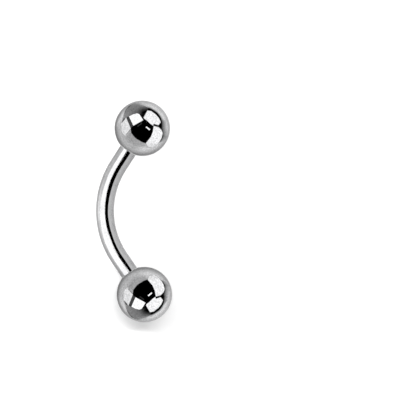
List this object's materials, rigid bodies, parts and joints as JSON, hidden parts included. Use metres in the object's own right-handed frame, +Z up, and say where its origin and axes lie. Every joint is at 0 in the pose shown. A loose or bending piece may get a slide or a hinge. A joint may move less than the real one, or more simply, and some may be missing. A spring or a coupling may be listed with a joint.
{
  "type": "curved eyebrow barbell",
  "caption": "Curved polished steel bar with a ball screwed into each end, worn through an eyebrow piercing and lying on its balls and the middle of its bar.",
  "frame": {"origin": "on the floor, under the centre of the whole barbell's box", "axes": "+Y from the lower ball to the upper ball, +Z up from the floor that both balls and the middle of the bar rest on, and the bar bulges towards -X"},
  "size_m": [0.0046, 0.0148, 0.0037],
  "materials": {
    "bar_steel": "polished",
    "ball_steel": "polished"
  },
  "bodies": {
    "bar": {"curved_bar": "bar_steel"},
    "upper_end": {"upper_ball": "ball_steel"},
    "lower_end": {"lower_ball": "ball_steel"}
  },
  "joints": [
    {"name": "upper_ball_unscrew", "type": "slide", "parent": "bar", "child": "upper_end", "axis": [0.4824, 0.8339, 0.2682], "range_m": [0, 0.0015]},
    {"name": "lower_ball_unscrew", "type": "slide", "parent": "bar", "child": "lower_end", "axis": [0.4824, -0.8339, 0.2682], "range_m": [0, 0.0015]}
  ]
}
